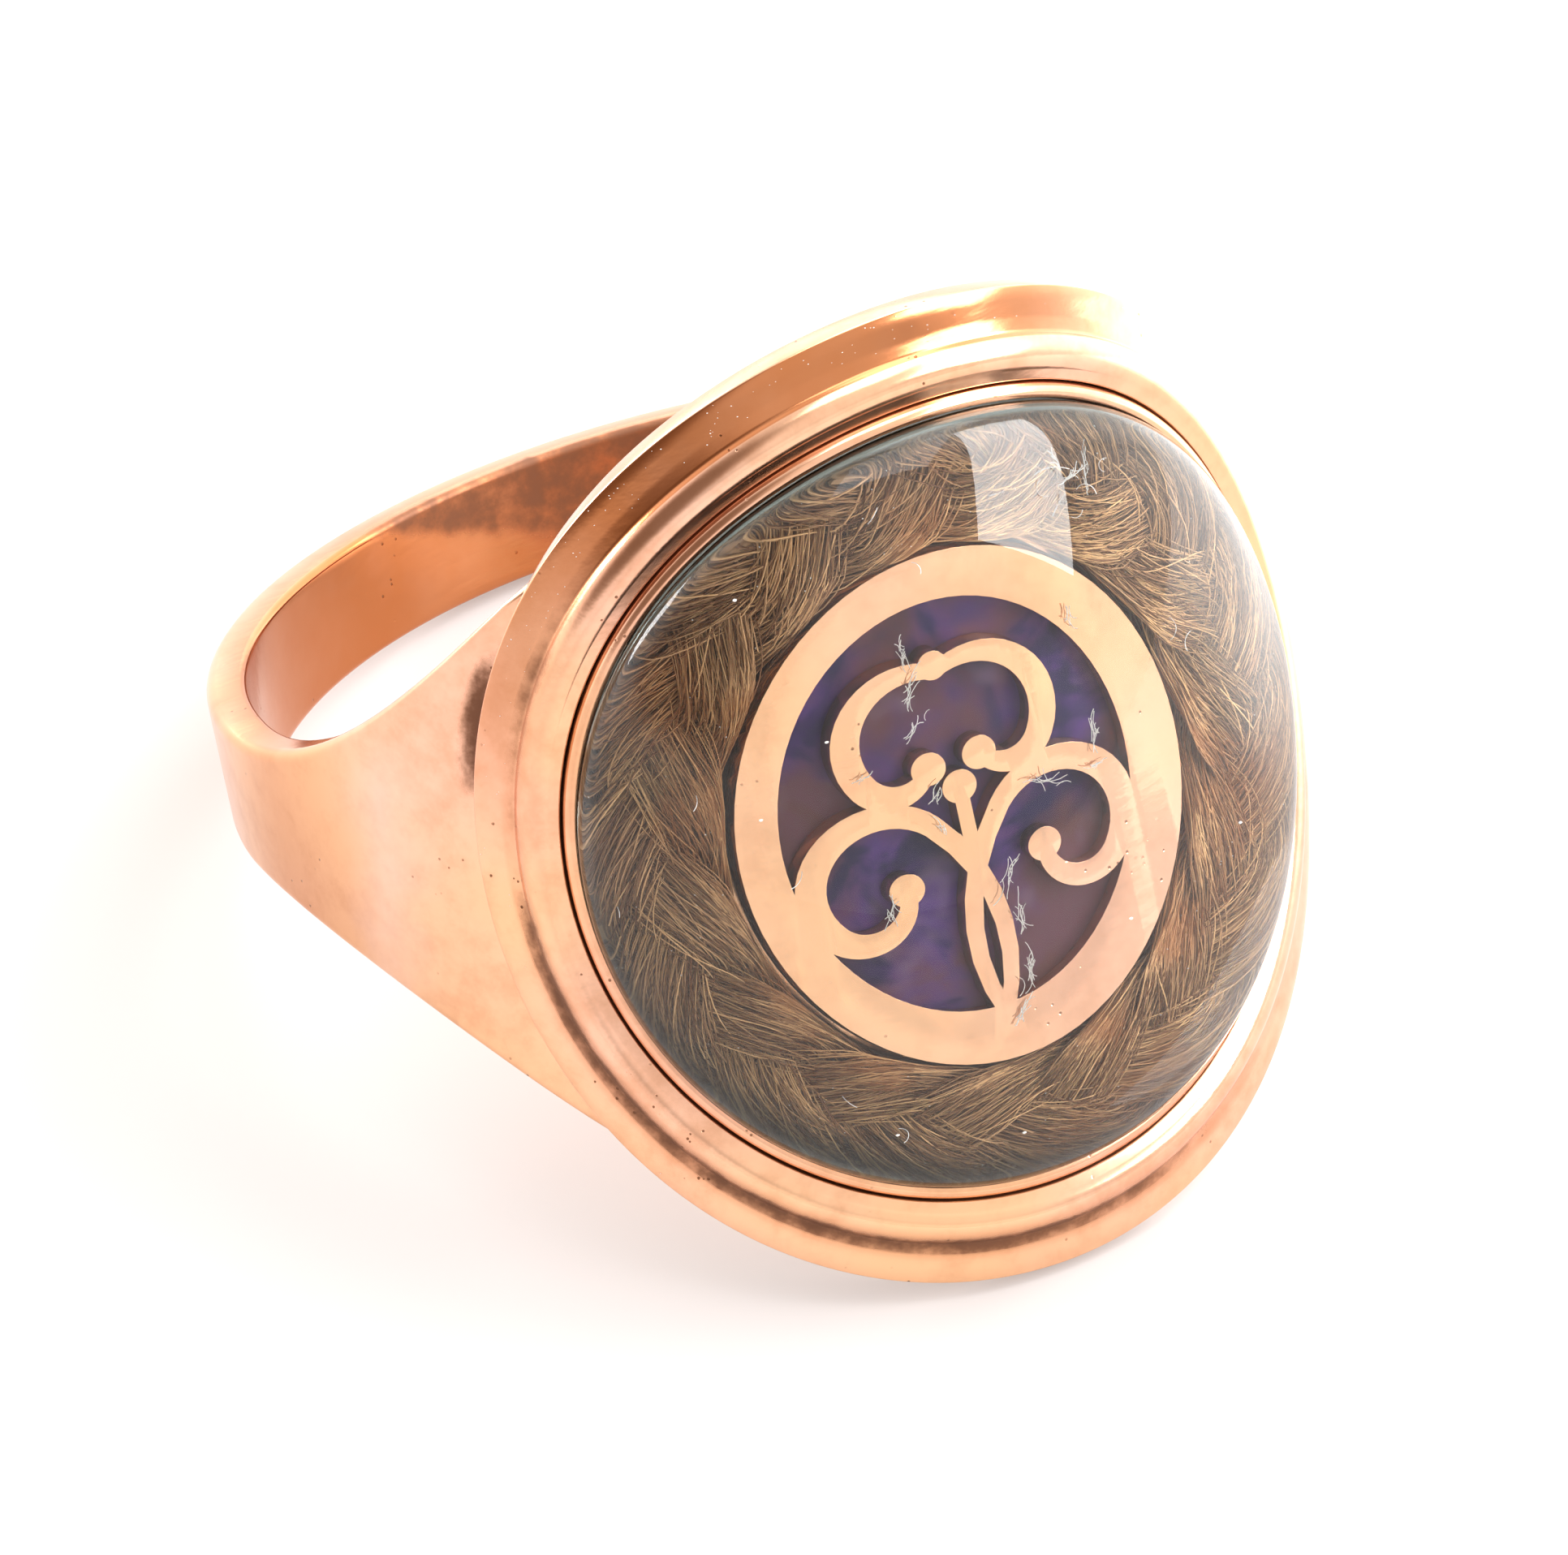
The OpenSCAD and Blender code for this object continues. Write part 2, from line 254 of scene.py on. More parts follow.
def paintHeadShade(inset, height, angle):
    # Painted shade: darker in the groove round the tray, under the flange and in the cove, a
    # copper-coloured painted shade on the upper left of the flange and a painted brown reflection on the
    # bead's outer flank
    wearAndShade = headShadePaint
    # Painted shadow: a dark line in the groove round the tray
    inGroove = -head["flangeThick"] < height < head["beadWidth"] * wearAndShade["grooveTop"]
    groove = near(inset, trayInset, wearAndShade["groove"]) if inGroove else 0
    # Painted shade under the flange
    under = near(inset, head["overhang"], wearAndShade["under"]) if height < -wearAndShade["under"] else 0
    onFlange = height > -0.02 and inset < head["flangeWidth"]
    onFlange = onFlange or (height < wearAndShade["coveTop"] and wearAndShade["coveStart"] < inset < beadMiddle)
    # Painted shade in the cove between bead and flange
    cove = ramp(inset, *wearAndShade["cove"]) if onFlange else 0
    # Painted shade: the upper left of the flange is coloured darker copper
    copper = min(1, 1.5 * near(angle, *wearAndShade["copper"])) if onFlange else 0
    # Painted shade on the lower side of the cove, darker and copper-tinted
    low = ramp(near(angle, *wearAndShade["lowCove"]), 0, 0.45) * cove
    # Painted reflection: the bead's outer flank is painted dark brown at the lower left and the left
    flank = ramp(inset, *wearAndShade["flankIn"]) * (1 - ramp(inset, *wearAndShade["flankOut"])) if height > 0 else 0
    flank *= max(ramp(near(angle, *wearAndShade["flankLow"]), 0, 0.5), 0.8 * near(angle, *wearAndShade["flankLeft"]))
    dirtAndShade = max(groove, under, cove * wearAndShade["coveShade"], low * wearAndShade["lowCoveShade"], flank * wearAndShade["flankShade"])
    tarnishAndShade = max(copper * wearAndShade["copperShade"], low * wearAndShade["lowCoveCopper"], flank * wearAndShade["flankCopper"])
    return dirtAndShade, min(1, tarnishAndShade)


def buildHead():
    arc = math.radians(head["beadArc"])
    slope = math.radians(head["flangeSlope"])
    flank = beadRadius * math.cos(arc)
    # The cove runs from the bead's outer flank into the flange
    coveInset = beadMiddle - beadRadius * math.sin(arc)
    coveTurn = math.cos(slope) - math.cos(arc)
    coveRadius = (flank - flangeHeight(coveInset)) / coveTurn / head["coveDeepening"]
    floorShares = [step / head["floorSteps"] for step in range(head["floorSteps"])]
    profile = [(share, floorLevel, True) for share in floorShares]
    # The bead's inner flank runs out flat to the groove round the collar
    innerArc = math.radians(head["innerArc"])
    grooveLevel = beadRadius * math.cos(innerArc) - head["grooveDrop"]
    profile += [(trayInset, floorLevel), (trayInset, grooveLevel)]
    for step in range(head["beadSteps"] + 1):
        angle = -innerArc + (arc + innerArc) * step / head["beadSteps"]
        profile.append((beadMiddle - beadRadius * math.sin(angle), beadRadius * math.cos(angle)))
    for step in range(1, head["coveSteps"] + 1):
        angle = arc + (slope - arc) * step / head["coveSteps"]
        profile.append((
            coveInset - coveRadius * (math.sin(arc) - math.sin(angle)),
            flank - coveRadius * (math.cos(angle) - math.cos(arc)),
        ))
    profile += [(inset, flangeHeight(inset)) for inset in (*head["flangeCuts"], head["bevelWidth"])]
    under = -head["flangeThick"]
    profile += [(0, -head["rimDrop"]), (0, under)]
    profile += [(head["overhang"], under), (head["overhang"], boreMark), (trayInset, boreMark)]
    profile += [(share, boreMark, True) for share in reversed(floorShares)]
    corners = [
        (trayInset, grooveLevel, head["grooveRound"]),
        (0, -head["rimDrop"], head["rimRound"]),
        (0, under, head["underRound"]),
        (head["overhang"], boreMark, head["wallRound"]),
    ]
    shape = spunOval(profile, trayInset, headOval, paintHeadShade, corners=corners)
    return finishPiece("ringHead", shape, replaced=["ring_body"])


# Band and shoulders
bandWearAndShade = {
    # Places are degrees from the back of the band, edges are millimetres along the finger
    "insideDepth": (0.05, 0.3),     # radii past the finger hole's over which the inside's painted shade and the seam end
    # Painted shade on the inside, from the back round towards the head
    "innerShade": (-13, 0),
    "innerShadeEnd": (30, 80),
    "innerShadeSlant": 16,
    "innerShadeAmount": 0.72,
    "seam": (2.2, 3),
    "seamEdge": (-0.6, 0.3),
    "seamDirt": 1.1,
    # Painted shadow where the shoulders meet the head
    "crevice": 0.055,               # as a share of the way from the back to the head
    "creviceStart": (0.905, 0.94),  # the same on the near shoulder's painted shadow patch
    "crevicePatch": (2.9, 1.9),
    # Painted shade: orange bands across the outside of the band
    "sideShadeBands": ((-92, 18, 0.5), (-72, 8, 0.3)),
    # Painted reflection: a lilac band slanting across the outside of the band
    "lilacTintAndReflection": (-111, 11),
    "lilacReflectionEdge": (1.5, 3.2),
    "lilacReflectionSlant": 1.2,
    "lilacReflectionAmount": 0.6,
}


def shoulderLevels():
    turn = head["halfWidth"] / head["bendRadius"]
    turn *= math.sqrt(1 - (band["shoulderHalfWidth"] / head["halfLength"]) ** 2)
    top = bendLevel + (head["bendRadius"] - head["flangeThick"]) * math.cos(turn) - band["shoulderDrop"]
    rise = band["flareHalfWidth"] + band["flareRadius"] - band["shoulderHalfWidth"]
    return top - math.sqrt(band["flareRadius"] ** 2 - rise ** 2), top


flareLevel, shoulderLevel = shoulderLevels()


def bandHalfWidth(level):
    if level > shoulderLevel:
        return band["shoulderHalfWidth"]
    if level > flareLevel:
        drop = math.sqrt(band["flareRadius"] ** 2 - (level - flareLevel) ** 2)
        return band["flareHalfWidth"] + band["flareRadius"] - drop
    share = (level + bandRadius) / (flareLevel + bandRadius)
    return band["backHalfWidth"] + share * (band["flareHalfWidth"] - band["backHalfWidth"])


def bandEnd(along, radius):
    # How far from the back the band goes round before it ends inside the wall of the head
    inset = (head["overhang"] + trayInset) / 2
    across = (head["halfWidth"] - inset) * math.sqrt(1 - (along / (head["halfLength"] - inset)) ** 2)
    turn = across / head["bendRadius"]
    reach = reachAt(turn, radius)
    return math.pi - math.atan2(reach * math.sin(turn), bendLevel + reach * math.cos(turn))


def bandStainAndShade(turned, along, radius, way):
    # Painted shadow where the shoulders meet the head, the inside painted darker copper with a band of
    # painted shade, painted orange shade bands and a painted lilac reflection outside, and a solder seam at
    # the back
    wearAndShade = bandWearAndShade
    degrees = math.degrees(turned)
    # Inside the band: painted all over in darker copper as painted shade; also the mask for the inner
    # painted shade and the seam
    inside = 1 - ramp(radius, *[band["fingerRadius"] + depth for depth in wearAndShade["insideDepth"]])
    # Painted shade along the inside
    innerShade = wearAndShade["innerShadeAmount"] * ramp(degrees + along * wearAndShade["innerShadeSlant"], *wearAndShade["innerShade"])
    innerShade *= 1 - ramp(degrees, *wearAndShade["innerShadeEnd"])
    seam = wearAndShade["seamDirt"] * near(degrees, *wearAndShade["seam"]) * ramp(along, *wearAndShade["seamEdge"])
    # Painted shadow where the shoulders meet the head, and a painted shadow patch on the near shoulder
    crevice = near(abs(way), 1, wearAndShade["crevice"])
    if way < 0:
        patch = ramp(near(along, *wearAndShade["crevicePatch"]), 0, 0.6)
        crevice = max(crevice, ramp(-way, *wearAndShade["creviceStart"]) * patch)
    if radius <= bandRadius - 0.1:
        crevice *= 0.4
    # Painted shade in orange bands on the outside
    outside = sum(amount * near(degrees, middle, width) for middle, width, amount in wearAndShade["sideShadeBands"])
    # Painted reflection: a lilac band across the outside
    lilacTintAndReflection = wearAndShade["lilacReflectionAmount"] * near(degrees + along * wearAndShade["lilacReflectionSlant"], *wearAndShade["lilacTintAndReflection"])
    lilacTintAndReflection *= (1 - ramp(along, *wearAndShade["lilacReflectionEdge"])) * (1 - inside)
    return max(inside * max(innerShade, seam), crevice), max(inside, outside), lilacTintAndReflection


def buildBand():
    # A straight hoop of one width is spun first, then drawn out to the shoulders
    shape = bmesh.new()
    half = 2.0
    farEnd = math.radians(130)
    inner, outer = -band["fingerRadius"], -bandRadius
    points = [
        shape.verts.new((0, along, level))
        for along, level in ((-half, outer), (half, outer), (half, inner), (-half, inner))
    ]
    edges = [shape.edges.new((points[i], points[(i + 1) % 4])) for i in range(4)]
    bmesh.ops.subdivide_edges(shape, edges=[edges[0], edges[2]], cuts=band["crossCuts"])
    bmesh.ops.rotate(shape, verts=shape.verts, cent=(0, 0, 0), matrix=Matrix.Rotation(farEnd, 3, "Y"))
    bmesh.ops.spin(shape, geom=shape.verts[:] + shape.edges[:], cent=(0, 0, 0), axis=(0, -1, 0),
                   angle=2 * farEnd, steps=band["turnSteps"])
    bmesh.ops.remove_doubles(shape, verts=shape.verts, dist=sameSpot)
    for radius, size in ((bandRadius, band["outerCorner"]), (band["fingerRadius"], band["innerCorner"])):
        def onRim(v):
            return abs(abs(v.co.y) - half) < 1e-3 and abs(math.hypot(v.co.x, v.co.z) - radius) < 1e-3

        rims = [e for e in shape.edges if all(onRim(v) for v in e.verts) and len(e.link_faces) == 2]
        roundEdges(shape, rims, size, 5)
    bmesh.ops.holes_fill(shape, edges=[e for e in shape.edges if e.is_boundary])
    bmesh.ops.recalc_face_normals(shape, faces=shape.faces)
    layers = [shape.verts.layers.float.new(name) for name in ("grimeAndShade", "tarnishAndShade", "lilacTintAndReflection")]
    corner = band["outerCorner"]
    for v in shape.verts:
        radius = math.hypot(v.co.x, v.co.z)
        way = math.atan2(v.co.x, -v.co.z) / farEnd
        side = math.copysign(1, v.co.y)
        flat = abs(v.co.y) / (half - corner)
        level = -radius * math.cos(way * farEnd)
        # Width and end of the band depend on each other, and three passes settle them
        for settling in range(3):
            width = bandHalfWidth(level)
            along = flat * (width - corner) if flat < 1 else width - (half - abs(v.co.y))
            end = bandEnd(min(along, band["shoulderHalfWidth"]), radius)
            level = -radius * math.cos(way * end)
        turned = way * end
        for layer, amount in zip(layers, bandStainAndShade(turned, side * along, radius, way)):
            v[layer] = amount
        v.co = atRest @ Vector((radius * math.sin(turned), side * along, level))
    return finishPiece("ringBand", shape)


# Thin collar round the crystal
collar = {
    "gap": 0.02,
    "width": 0.29,
    "height": 0.45,
    "stepWidth": 0.12,
    "stepHeight": 0,
    "footClear": 0.03,
    "rounds": (0.05, 0.04, 0.03, 0.02),
    # Painted shade in the groove at the collar's foot, and the collar's own even tint
    "grooveShade": 0.05,
    "grooveShadeTop": 0.22,
    "tarnishAndShade": 0.1,
}
collarInset = trayInset + collar["gap"]
lipInset = collarInset + collar["width"]
stepInset = lipInset + collar["stepWidth"]
foot = floorLevel + collar["footClear"]


def collarShadeAndTint(inset, height, angle):
    # Painted shade: darker in the groove at the foot and all over the inner step under the crystal; the
    # tint is the collar's own
    inside = 1 if inset > lipInset - 0.004 else 0
    groove = near(inset, collarInset, collar["grooveShade"]) if height < collar["grooveShadeTop"] else 0
    return max(groove, inside), collar["tarnishAndShade"]


def buildCollar():
    width, height = collar["width"], collar["height"]
    profile = [
        (collarInset, foot),
        (collarInset, height * 0.6),
        (collarInset + width * 0.3, height * 0.9),
        (collarInset + width * 0.65, height),
        (lipInset, height * 0.94),
        (lipInset, collar["stepHeight"]),
        (stepInset, collar["stepHeight"]),
        (stepInset, foot),
    ]
    corners = [(*point, size) for point, size in zip(profile[1:], collar["rounds"])]
    shape = spunOval(profile, stepInset, headOval, collarShadeAndTint, corners=corners, closed=True)
    return finishPiece("crystalCollar", shape, replaced=["crystal_rim"])


# Domed crystal; the shades are the widths in millimetres of the painted shade by which it darkens towards
# the collar
dome = {
    "height": 1.85,
    "gap": 0.03,
    "edgeHeight": 0.423,
    "edgeRound": 0.04,
    "rimShade": 0.36,
    "lowShade": 0.6,
    "lowPlace": (-120, 90),
    "clearShade": 0.24,
    "clearPlace": (145, 60),
    "steps": 48,
    "underSteps": 14,
    "index": 1.54,
}


def domeRimShade(inset, height, angle):
    # Painted shade: the dark band next to the collar is wider at the lower left and narrower at the upper
    # left
    wide = dome["rimShade"] + dome["lowShade"] * ramp(near(angle, *dome["lowPlace"]), 0, 1)
    wide -= dome["clearShade"] * ramp(near(angle, *dome["clearPlace"]), 0, 0.6)
    return 1 - ramp(inset - (lipInset + dome["gap"]), wide * 0.2, wide), 0


def buildCrystal():
    inset = lipInset + dome["gap"]
    under = collar["stepHeight"] + dome["gap"]
    profile = []
    for step in range(dome["steps"], 0, -1):
        angle = math.radians(step * 90 / dome["steps"])
        profile.append((math.cos(angle), dome["edgeHeight"] + dome["height"] * math.sin(angle), True))
    profile += [(inset, dome["edgeHeight"]), (inset, under)]
    profile += [(share / dome["underSteps"], under, True) for share in reversed(range(dome["underSteps"]))]
    shape = spunOval(profile, inset, headOval, domeRimShade, corners=[(inset, under, dome["edgeRound"])])
    return finishPiece("crystalDome", shape, replaced=["crystal"], sharp=60)


# Enamel plate
badge = {
    "halfWidth": 4.12,
    "halfLength": 4.7,
    "shift": -0.3,
    "enamelThick": 0.4,
    "enamelClear": 0.03,
    "enamelEdgeShadeWidth": 0.2,
    "enamelSteps": 10,
    "edgeRound": 0.045,
    "edgeTurn": 50,
    "cutSpacing": 0.16,
    "cuts": 30,
    "wallShade": (0.3, 0.2),     # depth below the top at which the painted shade on the walls starts, and over which it comes up
    "outerWall": 0.97,
    "innerWallShade": 0.3,
}


def enamelEdgeShade(inset, height, angle):
    # Painted shade darkens the enamel next to the frame
    return near(inset, 0, badge["enamelEdgeShadeWidth"]), 0


def buildEnamel():
    low = floorLevel + badge["enamelClear"]
    high = low + badge["enamelThick"]
    oval = (badge["halfWidth"] - badge["enamelClear"], badge["halfLength"] - badge["enamelClear"])
    shares = [step / badge["enamelSteps"] for step in range(badge["enamelSteps"])]
    profile = [(share, high, True) for share in shares] + [(0, high), (0, low)]
    profile += [(share, low, True) for share in reversed(shares)]
    shape = spunOval(profile, 0, oval, enamelEdgeShade, shift=badge["shift"])
    return finishPiece("enamelPlate", shape, replaced=["enamel"])


# Gold frame and its ornament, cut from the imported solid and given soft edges
def buildBadge():
    shape = bmesh.new()
    shape.from_mesh(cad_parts["badge"].data)
    bmesh.ops.remove_doubles(shape, verts=shape.verts, dist=1e-3 * mm)
    for v in shape.verts:
        v.co = flattened(fromRest @ v.co)
    bmesh.ops.remove_doubles(shape, verts=shape.verts, dist=1e-3)
    bmesh.ops.dissolve_limit(shape, angle_limit=math.radians(3), verts=shape.verts, edges=shape.edges)
    shape.normal_update()
    top = max(v.co.z for v in shape.verts)
    rims = [
        e for e in shape.edges
        if len(e.link_faces) == 2 and all(abs(v.co.z - top) < 0.01 for v in e.verts)
        and e.calc_face_angle(0) > math.radians(badge["edgeTurn"])
    ]
    roundEdges(shape, rims, badge["edgeRound"], 3)
    # Cuts along the finger let the flat faces follow the bend
    for cut in range(-badge["cuts"], badge["cuts"] + 1):
        bmesh.ops.bisect_plane(shape, geom=shape.verts[:] + shape.edges[:] + shape.faces[:], dist=sameSpot,
                               plane_co=(cut * badge["cutSpacing"], 0, 0), plane_no=(1, 0, 0))
    bmesh.ops.triangulate(shape, faces=shape.faces)
    layer = shape.verts.layers.float.new("grimeAndShade")
    # Painted shade: the frame's walls darken below the top, the ornament's walls less
    start, fade = badge["wallShade"]
    for v in shape.verts:
        outward = math.hypot((v.co.x - badge["shift"]) / badge["halfWidth"], v.co.y / badge["halfLength"])
        wall = max(0, 1 - (v.co.z - top + start) / fade)
        v[layer] = wall * (1 if outward > badge["outerWall"] else badge["innerWallShade"])
        v.co = atRest @ bent(*v.co)
    piece = finishPiece("badgeFrame", shape, replaced=["badge"], sharp=35)
    piece.modifiers.new("evenShade", "WEIGHTED_NORMAL").keep_sharp = True
    return piece


# Hair plait: three flat strands of fine hairs, over a thin mat of hairs that run round the tray
plait = {
    "swings": 5,
    "gap": 0.1,
    "halfWidth": 0.4,
    "lift": 0.22,
    "hairs": 250,
    "matHairs": 36,
    "hairRadius": 0.0135,
    "spread": 0.66,
    "depth": 0.13,
    "turnSteps": 120,
    "clear": 0.04,
    "heap": 0.2,
    "heapShares": (0.02, 0.34),
    "shortest": 0.55,           # share of the way round
    "lag": 0.2,
    "swingVaries": 0.2,
    "looseShare": 0.2,
    "looseTimes": 3,
    "looseLift": 0.04,
    "waves": 3,
    "waveRates": (2, 9),
    "waveTurns": (0, 6.3),
    "waveSizes": (0.02, 0.06),
    "brightShare": 0.06,
    "tones": (0.04, 0.8, 1.6),  # darkest, range and how rare the bright ones are
    "matRates": (2, 6),
    "matHeight": 0.1,
    "matWave": 0.06,
    "matWander": 0.12,
    "matTone": 0.35,
}
plaitMiddle = (foot + collar["stepHeight"]) / 2


def channelPlace(angle, share, height):
    # A place in the channel between badge and collar: share 0 at the badge, 1 at the collar
    inner = Vector(ovalPoint(angle, badge["halfWidth"], badge["halfLength"], -plait["clear"]))
    inner.x += badge["shift"]
    outer = Vector(ovalPoint(angle, *headOval, stepInset + plait["clear"]))
    # Shares outside the channel are squeezed into it
    squeezed = (share - 0.5) * 2
    squeezed = squeezed / (1 + abs(squeezed) ** 6) ** (1 / 6)
    place = inner.lerp(outer, 0.5 + squeezed / 2)
    height = min(max(height, foot), collar["stepHeight"] - 0.01)
    return Vector((place.x, place.y, height))


channelWidth = (channelPlace(0, 5, 0) - channelPlace(0, -5, 0)).length
channelRadius = (channelPlace(0, 0.5, 0).length + channelPlace(math.pi / 2, 0.5, 0).length) / 2
swingShare = 0.5 - (plait["gap"] + plait["halfWidth"] - plait["clear"]) / channelWidth


def hairTube(radius):
    # Gives the edges of a mesh the thickness of a hair
    group = bpy.data.node_groups.new("hairTube", "GeometryNodeTree")
    group.interface.new_socket("Geometry", in_out="INPUT", socket_type="NodeSocketGeometry")
    group.interface.new_socket("Geometry", in_out="OUTPUT", socket_type="NodeSocketGeometry")
    into = group.nodes.new("NodeGroupInput")
    out = group.nodes.new("NodeGroupOutput")
    lines = group.nodes.new("GeometryNodeMeshToCurve")
    section = group.nodes.new("GeometryNodeCurvePrimitiveCircle")
    section.inputs["Resolution"].default_value = 3
    section.inputs["Radius"].default_value = radius * mm
    tube = group.nodes.new("GeometryNodeCurveToMesh")
    tube.inputs["Fill Caps"].default_value = True
    smooth = group.nodes.new("GeometryNodeSetShadeSmooth")
    links = group.links
    links.new(into.outputs[0], lines.inputs["Mesh"])
    links.new(lines.outputs[0], tube.inputs["Curve"])
    links.new(section.outputs[0], tube.inputs["Profile Curve"])
    links.new(tube.outputs[0], smooth.inputs[0])
    links.new(smooth.outputs[0], out.inputs[0])
    return group


def hairPiece(name, hairs, radius, replaced=()):
    # Turns lines of flat places into one piece of fine tubes
    shape = bmesh.new()
    tone = shape.verts.layers.float.new("tone")
    for line, shade in hairs:
        points = [shape.verts.new(atRest @ bent(*place)) for place in line]
        for point in points:
            point[tone] = shade
        for pair in zip(points, points[1:]):
            shape.edges.new(pair)
    mesh = bpy.data.meshes.new(name)
    shape.to_mesh(mesh)
    shape.free()
    piece = bpy.data.objects.new(name, mesh)
    bpy.context.scene.collection.objects.link(piece)
    piece.modifiers.new("tube", "NODES").node_group = hairTube(radius)
    bpy.context.view_layer.update()
    tubes = bpy.data.meshes.new_from_object(piece.evaluated_get(bpy.context.evaluated_depsgraph_get()))
    piece.modifiers.clear()
    piece.data = tubes
    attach(piece, "root")
    if replaced:
        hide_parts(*replaced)
    return piece


def lockHair(lock):
    # One hair of a strand, which swings across the channel with it
    side = random.uniform(-1, 1)
    level = random.uniform(-1, 1) * math.sqrt(1 - side * side)
    start = random.uniform(0, 2 * math.pi)
    span = random.uniform(plait["shortest"], 1.0) * 2 * math.pi
    lag = random.gauss(0, plait["lag"])
    swing = swingShare * random.gauss(1.0, plait["swingVaries"])
    loose = plait["looseTimes"] if random.random() < plait["looseShare"] else 1
    waves = [
        (random.uniform(*plait["waveRates"]), random.uniform(*plait["waveTurns"]),
         random.uniform(*plait["waveSizes"]) * loose)
        for wave in range(plait["waves"])
    ]
    line = []
    steps = int(plait["turnSteps"] * span / 2 / math.pi)
    for step in range(steps + 1):
        angle = start + span * step / steps
        phase = plait["swings"] * angle + math.radians(120) * lock + lag
        slope = swing * plait["swings"] * math.cos(phase) * channelWidth / channelRadius
        wander = sum(size * math.sin(rate * angle + turn) for rate, turn, size in waves)
        width = (side * plait["spread"] + wander) / math.hypot(1, slope)
        share = 0.5 + swing * math.sin(phase) + width / channelWidth
        height = plaitMiddle + plait["lift"] * math.sin(2 * phase) + level * plait["depth"]
        height += (loose - 1) * plait["looseLift"]
        height += plait["heap"] * (1 - ramp(share, *plait["heapShares"]))
        line.append(channelPlace(angle - width * slope / channelRadius, share, height))
    darkest, tones, rare = plait["tones"]
    return line, 1 if random.random() < plait["brightShare"] else darkest + tones * random.random() ** rare


def matHair():
    # One hair of the mat under the strands
    start = random.uniform(0, 2 * math.pi)
    share = random.uniform(0, 1)
    rate = random.uniform(*plait["matRates"])
    line = []
    steps = plait["turnSteps"]
    for step in range(steps + 1):
        angle = start + 2 * math.pi * step / steps
        wander = plait["matWander"] * math.sin(rate * angle + start)
        height = foot + plait["matHeight"] + plait["matWave"] * math.sin(rate * 3 * angle)
        line.append(channelPlace(angle, share + wander, height))
    return line, plait["matTone"] * random.random()


def buildLock(lock):
    hairs = [lockHair(lock) for hair in range(plait["hairs"])]
    hairs += [matHair() for hair in range(plait["matHairs"])]
    number = lock + 1
    return hairPiece("hairLock%d" % number, hairs, plait["hairRadius"], replaced=["hair_lock_%d" % number])


ringHead = buildHead()
ringBand = buildBand()
crystalCollar = buildCollar()
crystalDome = buildCrystal()
enamelPlate = buildEnamel()
badgeFrame = buildBadge()
hairLocks = [buildLock(lock) for lock in range(3)]
print("pieces modelled")


# Materials
class Wire:
    # A socket of a node tree, on which sums and products add Math nodes
    def __init__(self, graph, socket):
        self.graph = graph
        self.socket = socket

    def reckon(self, operation, *values):
        return self.graph.add("ShaderNodeMath", {"operation": operation}, dict(enumerate(values)))

    def __add__(self, other):
        return self.reckon("ADD", self, other)

    def __radd__(self, other):
        return self.reckon("ADD", other, self)

    def __sub__(self, other):
        return self.reckon("SUBTRACT", self, other)

    def __rsub__(self, other):
        return self.reckon("SUBTRACT", other, self)

    def __mul__(self, other):
        return self.reckon("MULTIPLY", self, other)

    def __rmul__(self, other):
        return self.reckon("MULTIPLY", other, self)

    def rising(self, low, high):
        # 0 below low, 1 above high, smooth between
        return self.graph.add("ShaderNodeMapRange", {"interpolation_type": "SMOOTHSTEP"},
                              {"Value": self, "From Min": low, "From Max": high})


class Graph:
    def __init__(self, tree):
        self.tree = tree
        tree.nodes.clear()

    def add(self, kind, settings=None, inputs=None, output=0):
        node = self.tree.nodes.new(kind)
        for key, value in (settings or {}).items():
            setattr(node, key, value)
        for key, value in (inputs or {}).items():
            if isinstance(value, Wire):
                self.tree.links.new(value.socket, node.inputs[key])
            else:
                node.inputs[key].default_value = value
        return Wire(self, node.outputs[output]) if node.outputs else None

    def mix(self, share, first, second):
        return self.add("ShaderNodeMix", {"data_type": "RGBA"}, {0: share, 6: first, 7: second}, 2)

    def noise(self, scale, detail=3, rough=0.5, stretch=(1, 1, 1), turn=(0, 0, 0), distortion=0):
        place = self.add("ShaderNodeTexCoord", output="Object")
        place = self.add("ShaderNodeMapping", {}, {"Vector": place, "Rotation": turn, "Scale": stretch})
        return self.add("ShaderNodeTexNoise", {}, {
            "Vector": place, "Scale": scale, "Detail": detail, "Roughness": rough,
            "Distortion": distortion})

    def specks(self, scale, size):
        # 1 in small round spots
        place = self.add("ShaderNodeTexCoord", output="Object")
        far = self.add("ShaderNodeTexVoronoi", {}, {"Vector": place, "Scale": scale})
        return 1 - far.rising(size * 0.5, size)

    def attribute(self, name):
        return self.add("ShaderNodeAttribute", {"attribute_name": name}, output="Fac")

    def facing(self, way, direction):
        # How far a vector points in a direction
        return self.add("ShaderNodeVectorMath", {"operation": "DOT_PRODUCT"},
                        {0: way, 1: direction}, "Value")


def newMaterial(name):
    material = bpy.data.materials.new(name)
    material.use_nodes = True
    return material, Graph(material.node_tree)


def close(graph, **inputs):
    shader = graph.add("ShaderNodeBsdfPrincipled", {}, inputs)
    graph.add("ShaderNodeOutputMaterial", {}, {"Surface": shader})


reliefHeight = 0.00001      # height in metres that a Bump node's height of 1 stands for

